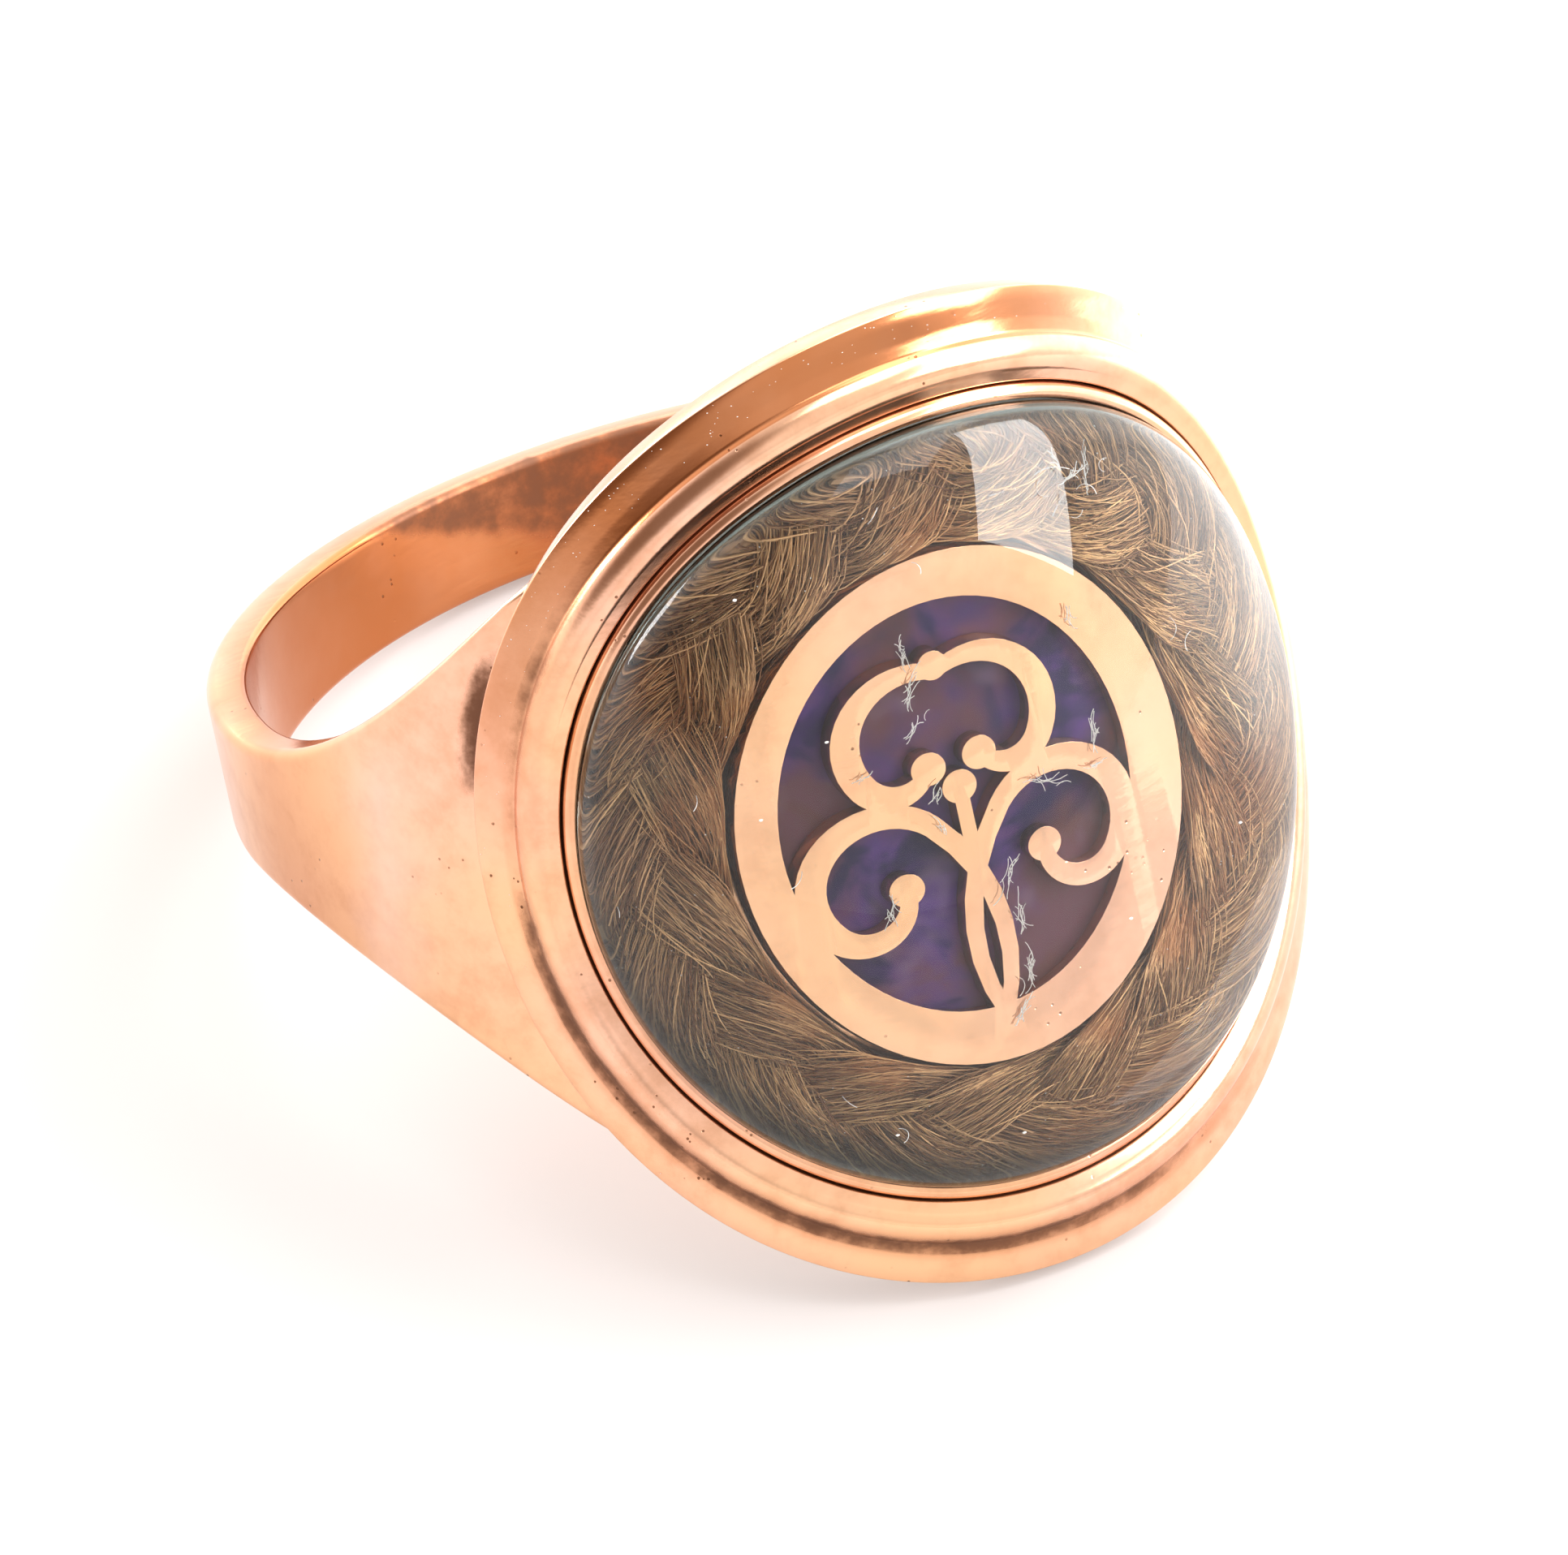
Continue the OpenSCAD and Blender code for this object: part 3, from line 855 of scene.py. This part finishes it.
gold = {
    "bright": (0.89, 0.515, 0.29, 1),
    "pink": (0.90, 0.52, 0.37, 1),
    "brown": (0.60, 0.28, 0.14, 1),
    # dark colour of dirt and of painted shade
    "grimeAndShade": (0.16, 0.06, 0.025, 1),
    "copper": (0.52, 0.18, 0.065, 1),
    "lilac": (0.88, 0.62, 0.53, 1),
    "roughness": 0.17,
    "scratchTurns": ((0.3, 0.2, 0.5), (1.1, 0.4, 2.1), (0.7, 1.3, 1.2)),
    "scratchDepth": 0.45,
    "relief": 0.35,
}


def goldMaterial(name, wearAndShade, tarnishAndShade, dull=0):
    material, g = newMaterial(name)
    grimeAndShade = g.attribute("grimeAndShade")
    cloud = g.noise(260, 4, 0.6)
    fine = g.noise(1500, 4, 0.65)
    hue = g.noise(140, 2)
    # Brown patches lie over the gold, then copper for tarnish and painted shade, lilac for tint and painted
    # reflection, and dirt with painted shade over all of them
    colour = g.mix(hue.rising(0.35, 0.65), gold["bright"], gold["pink"])
    colour = g.mix((cloud * 0.5 + fine * 0.5).rising(0.42, 0.7) * tarnishAndShade, colour, gold["brown"])
    # Copper from the layer: painted shade on the head and inside the band, painted shade bands outside it,
    # and the collar's own even tint
    colour = g.mix(g.attribute("tarnishAndShade") * (0.7 + cloud * 0.5), colour, gold["copper"])
    # Lilac: the painted reflection band from the layer, with faint lilac patches from the noise
    lilacTintAndReflection = g.attribute("lilacTintAndReflection") * (0.4 + hue) + (cloud - 0.62)
    colour = g.mix(lilacTintAndReflection.rising(0, 1), colour, gold["lilac"])
    # Dirt and painted shade from the layer darken the gold, take away some of its metal and make it rougher
    dirtAndShade = (grimeAndShade + (fine - 0.5) * (grimeAndShade + 0.05)).rising(0.28, 0.95)
    pits = g.specks(4200, 0.16) * g.noise(600, 2).rising(0.56, 0.62) * wearAndShade
    colour = g.mix((dirtAndShade + pits * 0.8).rising(0, 1), colour, gold["grimeAndShade"])
    scratch = 0
    for turn in gold["scratchTurns"]:
        line = g.noise(450, 2, 0.5, stretch=(1, 12, 12), turn=turn)
        scratch = (line - 0.5) * gold["scratchDepth"] + scratch
    rough = gold["roughness"] + dull + (cloud - 0.5) * 0.16 + (fine - 0.5) * 0.1 + dirtAndShade * 0.35
    relief = g.add("ShaderNodeBump", {}, {
        "Strength": gold["relief"], "Distance": reliefHeight,
        "Height": scratch * wearAndShade + fine * 0.6 - pits * 2 + g.noise(90, 2) * 6})
    close(g, **{
        "Base Color": colour, "Metallic": 1 - dirtAndShade * 0.6, "Roughness": rough, "Normal": relief,
        "Specular IOR Level": 0.5})
    return material


# Painted shade: next to the collar the crystal is coloured dark grey-green
crystalLook = {
    "clear": (0.97, 0.985, 0.975, 1),
    "rim": (0.07, 0.1, 0.09, 1),
    "rimGlare": (0.6, 0.62, 0.6, 1),
    "rimRoughness": 0.1,
    "rimAmount": 0.8,
    "scuffs": 0.08,
    "relief": 0.04,
}


def crystalMaterial(name, glare):
    material, g = newMaterial(name)
    relief = g.add("ShaderNodeBump", {}, {
        "Strength": crystalLook["relief"], "Distance": reliefHeight, "Height": g.noise(700, 3)})
    scuffs = g.noise(2500, 3, stretch=(1, 9, 1), turn=(0.4, 0, 0.9)).rising(0.66, 0.8)

    def glass(colour, rough, tint):
        return g.add("ShaderNodeBsdfPrincipled", {}, {
            "Base Color": colour, "Roughness": rough, "IOR": dome["index"], "Transmission Weight": 1.0,
            "Specular Tint": tint, "Normal": relief})

    clear = glass(crystalLook["clear"], scuffs * crystalLook["scuffs"], (glare, glare, glare, 1))
    rim = glass(crystalLook["rim"], crystalLook["rimRoughness"], crystalLook["rimGlare"])
    # Painted shade: the dark rim glass is mixed in next to the collar
    both = g.add("ShaderNodeMixShader", {}, {
        0: g.attribute("grimeAndShade") * crystalLook["rimAmount"], 1: clear, 2: rim})
    g.add("ShaderNodeOutputMaterial", {}, {"Surface": both})
    return material


enamelLook = {
    "deep": (0.02, 0.014, 0.06, 1),
    "violet": (0.09, 0.04, 0.2, 1),
    "plum": (0.12, 0.045, 0.04, 1),
    "haze": (0.28, 0.19, 0.26, 1),
    "edge": (0.03, 0.015, 0.01, 1),
}


def enamelMaterial():
    material, g = newMaterial("violetEnamel")
    cloud = g.noise(520, 3, 0.6, distortion=0.8)
    patch = g.noise(300, 3, 0.6)
    colour = g.mix(cloud.rising(0.38, 0.62), enamelLook["deep"], enamelLook["violet"])
    colour = g.mix((patch * 0.7 + cloud * 0.3).rising(0.42, 0.54) * 0.85, colour, enamelLook["plum"])
    colour = g.mix(g.noise(900, 2, 0.5).rising(0.55, 0.75) * 0.3, colour, enamelLook["haze"])
    # Painted shade at the enamel's edge, in the dark edge colour
    colour = g.mix(g.attribute("grimeAndShade").rising(0.3, 0.7), colour, enamelLook["edge"])
    close(g, **{"Base Color": colour, "Roughness": 0.3, "Specular IOR Level": 0.12})
    return material


hairLook = {
    "dark": (0.16, 0.065, 0.03, 1),
    "bright": (1, 0.6, 0.32, 1),
    "straw": (0.7, 0.48, 0.2, 1),
    "red": (0.42, 0.15, 0.05, 1),
    "sheen": (1, 0.72, 0.45, 1),
}


def hairMaterial():
    material, g = newMaterial("brownHair")
    tone = g.attribute("tone")
    along = g.noise(500, 2)
    colour = g.mix(tone, hairLook["dark"], hairLook["bright"])
    colour = g.mix((along + tone * 0.4).rising(0.6, 0.9) * 0.3, colour, hairLook["straw"])
    colour = g.mix(g.noise(330, 2).rising(0.5, 0.62) * 0.5, colour, hairLook["red"])
    close(g, **{"Base Color": colour, "Roughness": 0.42, "Specular IOR Level": 0.35,
                "Specular Tint": hairLook["sheen"]})
    return material


goldHead = goldMaterial("goldHead", 1.0, 0.55)
goldBand = goldMaterial("goldBand", 0.8, 0.5)
goldBadge = goldMaterial("goldBadge", 0.9, 0.36, -0.03)
for piece, material in (
    (ringHead, goldHead), (ringBand, goldBand), (crystalCollar, goldBand), (badgeFrame, goldBadge),
    (crystalDome, crystalMaterial("rockCrystal", 0.72)), (enamelPlate, enamelMaterial()),
):
    piece.data.materials.append(material)
# The crystal's underside lies close on the hair, so it mirrors less than the dome
crystalDome.data.materials.append(crystalMaterial("rockCrystalUnder", 0.15))
for face in crystalDome.data.polygons:
    place = flattened(fromRest @ face.center)
    if abs(place.z - dome["gap"]) < 0.02:
        face.material_index = 1
hairFinish = hairMaterial()
for lock in hairLocks:
    lock.data.materials.append(hairFinish)
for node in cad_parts.values():
    node.data.materials.clear()
    node.data.materials.append(goldHead)
print("materials made")

# Camera, at the photograph's angle; picture places are those of a frame of 1932 by 1916
view = {
    "frameWidth": 1932,
    "frameHeight": 1916,
    "pixelsPerMm": 68.536,
    "originAt": (903.957, 798.126),
    "right": (0.8765, -0.4814, -0.003),
    "up": (0.3359, 0.6073, 0.7199),
    "distance": 1100,
    "sensor": 36,
}
right = Vector(view["right"]).normalized()
up = (Vector(view["up"]) - right * right.dot(Vector(view["up"]))).normalized()
toward = right.cross(up)
ringMiddle = atRest.translation


def aimAt(x, y):
    # The place of a pixel on the plane through the middle of the finger hole that faces the camera
    dx = (x - view["originAt"][0]) / view["pixelsPerMm"] * mm
    dy = (y - view["originAt"][1]) / view["pixelsPerMm"] * mm
    return ringMiddle + right * dx - up * dy


target = aimAt(view["frameWidth"] / 2, view["frameHeight"] / 2)
cameraData = bpy.data.cameras.new("camera")
cameraData.sensor_width = view["sensor"]
cameraData.lens = view["sensor"] * view["distance"] * view["pixelsPerMm"] / view["frameWidth"]
cameraData.clip_start = 0.1
cameraData.clip_end = 10
camera = bpy.data.objects.new("camera", cameraData)
bpy.context.scene.collection.objects.link(camera)
camera.matrix_world = Matrix.Translation(target + toward * view["distance"] * mm) @ Matrix((
    right, up, toward)).transposed().to_4x4()
bpy.context.scene.camera = camera

# Dust, lint and bruises of the crystal; each place is a pixel of the photograph's frame
crystalMarks = {
    "fibreRadius": 0.008,
    "fibreSteps": 8,
    "depth": 0.03,
    "lintLift": 0.006,
    # Feathery bruises: (x, y), length in mm, direction in degrees, fibres
    "bruises": [
        ((1110, 800), 0.6, 105, 9), ((1122, 850), 0.7, 80, 10), ((1128, 895), 0.45, 60, 7),
        ((1345, 905), 0.6, 100, 8), ((1345, 945), 0.5, 20, 7), ((1290, 962), 0.7, 170, 8),
        ((1150, 985), 0.4, 70, 6), ((1160, 1020), 0.35, 120, 5), ((1240, 1085), 0.6, 85, 8),
        ((1256, 1130), 0.7, 110, 9), ((1268, 1190), 0.7, 95, 11), ((1262, 1235), 0.5, 70, 8),
        ((1100, 1130), 0.6, 100, 8), ((1315, 765), 0.5, 115, 5), ((1065, 960), 0.3, 30, 4),
        ((1318, 590), 0.6, 15, 7), ((1335, 588), 0.6, 95, 7), ((1300, 575), 0.4, 130, 5),
    ],
    "bruiseWidth": 0.04,
    "bruiseTone": 0.8,
    "feather": (2, 24),
    # Lint on top of the crystal: (x, y), length in mm, direction in degrees
    "lint": [
        ((1290, 580), 0.7, 10), ((1335, 600), 0.5, 170), ((1350, 575), 0.35, 80), ((1300, 625), 0.5, 60),
        ((1275, 610), 0.45, 120), ((1325, 640), 0.3, 30), ((1445, 775), 0.5, 95), ((1456, 790), 0.4, 80),
        ((1045, 1355), 0.35, 140), ((1118, 1392), 0.4, 110), ((765, 1122), 0.2, 100),
        ((1075, 640), 0.35, 60), ((1225, 612), 0.3, 15), ((860, 990), 0.3, 80), ((985, 1085), 0.4, 60),
        ((1130, 700), 0.3, 130),
    ],
    "dots": [(1524, 1013), (1018, 915), (1105, 1395), (1260, 1392), (938, 1010), (1390, 1130), (906, 742)],
    "dotRadius": 0.045,
    "flecks": 150,
    "fleckRadii": (0.006, 0.016),
    "fleckLevel": 0.005,
    "flangeFlecks": 90,
    "flangeFleckRadii": (0.007, 0.018),
    "flangeFleckPlace": (2.2, 0.55),    # middle and spread round the head, in radians
    "rayStart": 30,
    "rayStep": 0.01,
}


def crystalPlace(x, y, depth):
    # Where the camera's ray through a pixel meets the dome, or, once the crystal has bent it, a depth below
    origin = aimAt(x, y) + toward * crystalMarks["rayStart"] * mm
    point, normal, face, far = domeTree.ray_cast(origin, -toward)
    if depth is None:
        return point + normal * crystalMarks["lintLift"] * mm
    bend = 1 / dome["index"]
    facing = normal.dot(toward)
    way = -toward * bend + normal * (bend * facing - math.sqrt(1 - bend * bend * (1 - facing * facing)))
    while flattened(fromRest @ point).z > depth:
        point = point + way * crystalMarks["rayStep"] * mm
    return point


def fibre(place, length, degrees, curl):
    # A short curled line round a place that faces the camera
    turn = math.radians(degrees)
    line = []
    for step in range(crystalMarks["fibreSteps"] + 1):
        share = step / crystalMarks["fibreSteps"] - 0.5
        angle = turn + curl * share * 2
        offset = (right * math.cos(angle) + up * math.sin(angle)) * share * length * mm
        line.append(flattened(fromRest @ (place + offset)))
    return line


def buildMarks():
    lines = []
    level = crystalMarks["depth"] - 0.02
    for pixel, length, degrees, count in crystalMarks["bruises"]:
        place = crystalPlace(*pixel, crystalMarks["depth"])
        way = right * math.cos(math.radians(degrees)) + up * math.sin(math.radians(degrees))
        for index in range(count):
            middle = place + way * random.uniform(-0.5, 0.5) * length * mm
            middle += right * random.gauss(0, crystalMarks["bruiseWidth"]) * mm
            tilt = random.choice((-1, 1)) * random.uniform(*crystalMarks["feather"])
            reach = length * random.uniform(0.3, 0.9)
            line = fibre(middle, reach, degrees + tilt, random.uniform(-0.5, 0.5))
            line = [(point.x, point.y, level + random.uniform(-0.01, 0.01)) for point in line]
            lines.append((line, crystalMarks["bruiseTone"]))
    for pixel, length, degrees in crystalMarks["lint"]:
        lines.append((fibre(crystalPlace(*pixel, None), length, degrees, random.uniform(-0.8, 0.8)), 1))
    return hairPiece("crystalLint", lines, crystalMarks["fibreRadius"])


def buildDust():
    shape = bmesh.new()
    places = [(crystalPlace(*pixel, None), crystalMarks["dotRadius"]) for pixel in crystalMarks["dots"]]
    for index in range(crystalMarks["flecks"]):
        place = channelPlace(random.uniform(0, 2 * math.pi), random.uniform(0.05, 0.95), 0)
        place.z = crystalMarks["fleckLevel"]
        places.append((atRest @ bent(*place), random.uniform(*crystalMarks["fleckRadii"])))
    for index in range(crystalMarks["flangeFlecks"]):
        inset = random.uniform(0.06, 0.6)
        across, along = ovalPoint(random.gauss(*crystalMarks["flangeFleckPlace"]), *headOval, inset)
        place = atRest @ bent(across, along, flangeHeight(inset))
        places.append((place, random.uniform(*crystalMarks["flangeFleckRadii"])))
    for place, radius in places:
        made = bmesh.ops.create_icosphere(shape, subdivisions=1, radius=radius * mm)
        bmesh.ops.scale(shape, vec=(1, random.uniform(0.5, 1), 0.4), verts=made["verts"])
        bmesh.ops.translate(shape, vec=place, verts=made["verts"])
    return finishPiece("crystalDust", shape)


def lintMaterial():
    material, g = newMaterial("whiteLint")
    colour = g.mix(g.noise(900, 2), (0.62, 0.58, 0.55, 1), (0.95, 0.95, 0.93, 1))
    # Painted light: the lint glows faintly
    close(g, **{"Base Color": colour, "Roughness": 0.5, "Transmission Weight": 0.35,
                "Emission Color": (1, 0.97, 0.93, 1), "Emission Strength": 0.12})
    return material


domeTree = BVHTree.FromObject(crystalDome, bpy.context.evaluated_depsgraph_get())
crystalLint = buildMarks()
crystalDust = buildDust()
lintFinish = lintMaterial()
for piece in (crystalLint, crystalDust):
    piece.data.materials.append(lintFinish)
print("dust laid")

# Floor, lights and room
studio = {
    "floorSize": 0.4,
    "floorColour": (0.35, 0.325, 0.32, 1),
    "floorPatches": (0.38, 0.355, 0.35, 1),
    "floorGlow": 0.3,
    "glowLeft": (1, 0.975, 0.955, 1),
    "glowRight": (9, 9.2, 9.2, 1),
    "glowAzimuth": 100,
    "glowCone": (42, 25),           # degrees from the azimuth at which the glow is nothing and full
    "glowStart": (0.012, 0.026),    # metres from the ring
    # Each light: azimuth, elevation, size, roll and radiance
    "lights": {
        "softbox": (63, 39, (0.265, 0.11), 32, 12),
        "backLight": (-152, 16, (0.22, 0.09), 0, 14),
        "overLight": (135, 58, (0.13, 0.1), 0, 3),
        "ceiling": (70, 78, (0.14, 0.14), 0, 3),
    },
    "lightDistance": 0.25,
    "room": 0.75,
    # The room's bright sides: azimuth, elevation, degrees at which it is full and nothing, brightness
    "brightSides": [
        (115, 62, 15, 60, 0.4),
        (-165, 5, 20, 75, 1.0),
        (112, 22, 15, 60, 1.9),
        (5, 38, 10, 38, 0.45),
    ],
    "darkSide": (-68, 34, 15, 44, 0.3),
    "tableBand": 0.5,
    "tableBandTop": (0.1, 0.28),
    "darkSideFoot": (0.08, 0.28),
    "roomColour": (1, 0.97, 0.94, 1),
    "darkSideColour": (1, 0.74, 0.56, 1),
}


def polar(azimuth, elevation):
    # A direction seen from the ring: azimuth 0 is -Y and 90 is +X
    a, e = math.radians(azimuth), math.radians(elevation)
    return Vector((math.sin(a) * math.cos(e), -math.cos(a) * math.cos(e), math.sin(e)))


def cone(facing, wide, narrow):
    # 0 outside the wide angle and 1 inside the narrow one, in degrees
    return facing.rising(math.cos(math.radians(wide)), math.cos(math.radians(narrow)))


def buildFloor():
    shape = bmesh.new()
    bmesh.ops.create_grid(shape, x_segments=4, y_segments=4, size=studio["floorSize"] / 2)
    mesh = bpy.data.meshes.new("floor")
    shape.to_mesh(mesh)
    shape.free()
    floor = bpy.data.objects.new("floor", mesh)
    bpy.context.scene.collection.objects.link(floor)
    material, g = newMaterial("paleFloor")
    tint = g.mix(g.noise(12, 2), studio["floorColour"], studio["floorPatches"])
    # Painted light: the table glows far brighter on the side of the softbox, outside the picture
    glowWay = polar(studio["glowAzimuth"], 0)
    place = g.add("ShaderNodeTexCoord", output="Object")
    way = g.add("ShaderNodeVectorMath", {"operation": "NORMALIZE"}, {0: place})
    side = cone(g.facing(way, glowWay), *studio["glowCone"])
    side = side * g.facing(place, glowWay).rising(*studio["glowStart"])
    glow = g.mix(side, studio["glowLeft"], studio["glowRight"])
    close(g, **{
        "Base Color": tint, "Roughness": 0.85, "Emission Color": glow,
        "Emission Strength": studio["floorGlow"]})
    mesh.materials.append(material)


def softLight(name, azimuth, elevation, size, roll, radiance):
    data = bpy.data.lights.new(name, "AREA")
    data.shape = "RECTANGLE"
    data.size, data.size_y = size
    data.energy = radiance * math.pi * size[0] * size[1]
    light = bpy.data.objects.new(name, data)
    bpy.context.scene.collection.objects.link(light)
    way = polar(azimuth, elevation)
    turn = way.to_track_quat("Z", "Y").to_matrix() @ Matrix.Rotation(math.radians(roll), 3, "Z")
    light.matrix_world = Matrix.Translation(way * studio["lightDistance"]) @ turn.to_4x4()


def buildRoom():
    world = bpy.data.worlds.new("room")
    bpy.context.scene.world = world
    world.use_nodes = True
    g = Graph(world.node_tree)
    way = g.add("ShaderNodeTexCoord", output="Generated")
    rise = g.facing(way, (0, 0, 1))
    light = studio["room"]
    for azimuth, elevation, narrow, wide, brightness in studio["brightSides"]:
        light = light + cone(g.facing(way, polar(azimuth, elevation)), wide, narrow) * brightness
    # The pale table goes on as a bright band along the horizon, below the dark room in front
    light = light + studio["tableBand"] * (1 - rise.rising(*studio["tableBandTop"]))
    azimuth, elevation, narrow, wide, darkLight = studio["darkSide"]
    dark = cone(g.facing(way, polar(azimuth, elevation)), wide, narrow)
    dark = dark * rise.rising(*studio["darkSideFoot"])
    light = light * (1 - dark) + dark * darkLight
    # The camera itself sees a plain white room
    seen = g.add("ShaderNodeLightPath", output="Is Camera Ray")
    light = light * (1 - seen) + seen
    colour = g.mix(dark * (1 - seen), studio["roomColour"], studio["darkSideColour"])
    ground = g.add("ShaderNodeBackground", {}, {"Color": colour, "Strength": light})
    g.add("ShaderNodeOutputWorld", {}, {"Surface": ground})


buildFloor()
buildRoom()
for name, facts in studio["lights"].items():
    softLight(name, *facts)
scene = bpy.context.scene
scene.view_settings.view_transform = "Standard"
scene.cycles.max_bounces = 11
scene.cycles.transmission_bounces = 9
scene.cycles.glossy_bounces = 5
scene.cycles.diffuse_bounces = 3
print("studio set")
